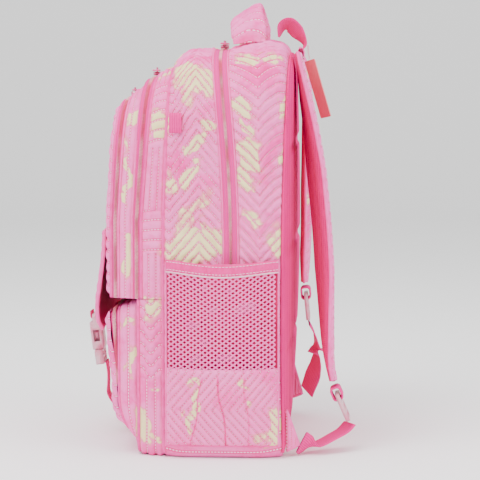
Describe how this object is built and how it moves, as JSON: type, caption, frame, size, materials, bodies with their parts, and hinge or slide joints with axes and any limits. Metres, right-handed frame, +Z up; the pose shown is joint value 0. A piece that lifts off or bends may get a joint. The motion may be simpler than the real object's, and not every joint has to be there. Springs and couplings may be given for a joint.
{
  "type": "school backpack",
  "caption": "School backpack: quilted compartments with zips, net side pockets, padded straps, top handle and a buckled front flap.",
  "frame": {"origin": "centre of the flat underside", "axes": "+Z up, +X to the wearer's right, +Y towards the wearer's back panel"},
  "size_m": [0.3356, 0.2986, 0.4829],
  "materials": {
    "quilt": "matte",
    "air_mesh": "matte",
    "webbing": "matte",
    "net": "matte",
    "zip_tape": "matte",
    "lining": "matte",
    "board": "matte",
    "clear_plastic": "gloss",
    "card": "matte",
    "slider_metal": "gloss",
    "pull_rubber": "satin"
  },
  "bodies": {
    "bag": {"back_gusset": "quilt", "front_gusset": "quilt", "base_panel": "quilt", "middle_gusset": "quilt", "front_strip": "quilt", "front_panel": "quilt", "lower_side_gusset": "quilt", "lower_gusset": "quilt", "lower_front": "quilt", "pocket_base_right": "quilt", "pocket_base_left": "quilt", "wing_right": "quilt", "wing_left": "quilt", "back_panel": "air_mesh", "lower_webbing_right": "webbing", "lower_webbing_left": "webbing", "loop_tab": "webbing", "net_hem_right": "webbing", "net_hem_left": "webbing", "net_right": "net", "net_left": "net", "main_zip_back_tape": "zip_tape", "main_zip_front_tape": "zip_tape", "middle_zip": "zip_tape", "front_zip": "zip_tape", "lower_zip": "zip_tape", "laptop_sleeve": "lining", "main_divider": "lining", "middle_divider": "lining", "lower_backing": "lining", "back_stiffener": "board", "base_board": "board"},
    "strap_right": {"strap_right": "quilt", "lock_loop_right": "webbing"},
    "strap_left": {"strap_left": "quilt", "lock_loop_left": "webbing"},
    "lock_right": {"ladder_lock_right": "clear_plastic"},
    "lock_left": {"ladder_lock_left": "clear_plastic"},
    "handle": {"grab_handle": "quilt"},
    "hang_loop": {"hang_loop": "webbing"},
    "tag": {"hang_tag": "card", "tag_pin": "clear_plastic"},
    "flap": {"pocket_flap": "quilt", "flap_strap": "webbing", "buckle_socket": "clear_plastic"},
    "plug": {"buckle_plug": "clear_plastic", "front_webbing": "webbing"},
    "prong_right": {"buckle_prong_right": "clear_plastic"},
    "prong_left": {"buckle_prong_left": "clear_plastic"},
    "main_slider_right": {"main_slider_right": "slider_metal"},
    "main_slider_right_pull": {"main_slider_right_pull": "pull_rubber"},
    "main_slider_left": {"main_slider_left": "slider_metal"},
    "main_slider_left_pull": {"main_slider_left_pull": "pull_rubber"},
    "middle_slider": {"middle_slider": "slider_metal"},
    "middle_slider_pull": {"middle_slider_pull": "pull_rubber"},
    "front_slider": {"front_slider": "slider_metal"},
    "front_slider_pull": {"front_slider_pull": "pull_rubber"},
    "lower_slider": {"lower_slider": "slider_metal"},
    "lower_slider_pull": {"lower_slider_pull": "pull_rubber"}
  },
  "joints": [
    {"name": "strap_right_swing", "type": "hinge", "parent": "bag", "child": "strap_right", "pos_m": [0.06, 0.077, 0.423], "axis": [1, 0, 0], "range_deg": [0, 30]},
    {"name": "strap_left_swing", "type": "hinge", "parent": "bag", "child": "strap_left", "pos_m": [-0.058, 0.077, 0.423], "axis": [1, 0, 0], "range_deg": [0, 30]},
    {"name": "lock_right_tilt", "type": "hinge", "parent": "strap_right", "child": "lock_right", "pos_m": [0.0925, 0.123, 0.061], "axis": [1, 0, 0], "range_deg": [-15, 20]},
    {"name": "lock_left_tilt", "type": "hinge", "parent": "strap_left", "child": "lock_left", "pos_m": [-0.1035, 0.085, 0.1485], "axis": [1, 0, 0], "range_deg": [-10, 20]},
    {"name": "handle_fold", "type": "hinge", "parent": "bag", "child": "handle", "pos_m": [0, 0.026, 0.444], "axis": [1, 0, 0], "range_deg": [-12, 10]},
    {"name": "hang_loop_fold", "type": "hinge", "parent": "bag", "child": "hang_loop", "pos_m": [0, 0.058, 0.444], "axis": [1, 0, 0], "range_deg": [-15, 0]},
    {"name": "tag_swing", "type": "hinge", "parent": "hang_loop", "child": "tag", "pos_m": [0.003, 0.0885, 0.436], "axis": [1, 0, 0], "range_deg": [0, 60]},
    {"name": "flap_lift", "type": "hinge", "parent": "bag", "child": "flap", "pos_m": [0, -0.131, 0.238], "axis": [-1, 0, 0], "range_deg": [0, 110]},
    {"name": "buckle_release", "type": "slide", "parent": "bag", "child": "plug", "axis": [0, 0.1203, -0.9927], "range_m": [0, 0.03]},
    {"name": "prong_right_squeeze", "type": "hinge", "parent": "plug", "child": "prong_right", "pos_m": [0.0096, -0.1457, 0.0975], "axis": [0, -0.9927, -0.1203], "range_deg": [0, 9], "stiffness_Nm_per_rad": 0.05},
    {"name": "prong_left_squeeze", "type": "hinge", "parent": "plug", "child": "prong_left", "pos_m": [-0.0096, -0.1457, 0.0975], "axis": [0, 0.9927, 0.1203], "range_deg": [0, 9], "stiffness_Nm_per_rad": 0.05},
    {"name": "main_slider_right_run", "type": "slide", "parent": "bag", "child": "main_slider_right", "axis": [1, 0, 0], "range_m": [0, 0.04]},
    {"name": "main_slider_right_pull_lift", "type": "hinge", "parent": "main_slider_right", "child": "main_slider_right_pull", "pos_m": [0.009, -0.00386, 0.438], "axis": [0, -1, 0], "range_deg": [0, 150]},
    {"name": "main_slider_left_run", "type": "slide", "parent": "bag", "child": "main_slider_left", "axis": [-1, 0, 0], "range_m": [0, 0.04]},
    {"name": "main_slider_left_pull_lift", "type": "hinge", "parent": "main_slider_left", "child": "main_slider_left_pull", "pos_m": [-0.009, -0.00386, 0.438], "axis": [0, 1, 0], "range_deg": [0, 150]},
    {"name": "middle_slider_run", "type": "slide", "parent": "bag", "child": "middle_slider", "axis": [1, 0, 0], "range_m": [0, 0.04]},
    {"name": "middle_slider_pull_lift", "type": "hinge", "parent": "middle_slider", "child": "middle_slider_pull", "pos_m": [0.01, -0.07847, 0.4085], "axis": [0, -1, 0], "range_deg": [0, 150]},
    {"name": "front_slider_run", "type": "slide", "parent": "bag", "child": "front_slider", "axis": [-1, 0, 0], "range_m": [0, 0.04]},
    {"name": "front_slider_pull_lift", "type": "hinge", "parent": "front_slider", "child": "front_slider_pull", "pos_m": [-0.01, -0.10543, 0.3865], "axis": [0, 1, 0], "range_deg": [0, 150]},
    {"name": "lower_slider_run", "type": "slide", "parent": "bag", "child": "lower_slider", "axis": [0, 0, 1], "range_m": [-0.02, 0.015]},
    {"name": "lower_slider_pull_lift", "type": "hinge", "parent": "lower_slider", "child": "lower_slider_pull", "pos_m": [-0.132, -0.1127, 0.112], "axis": [0, 1, 0], "range_deg": [0, 150]}
  ]
}
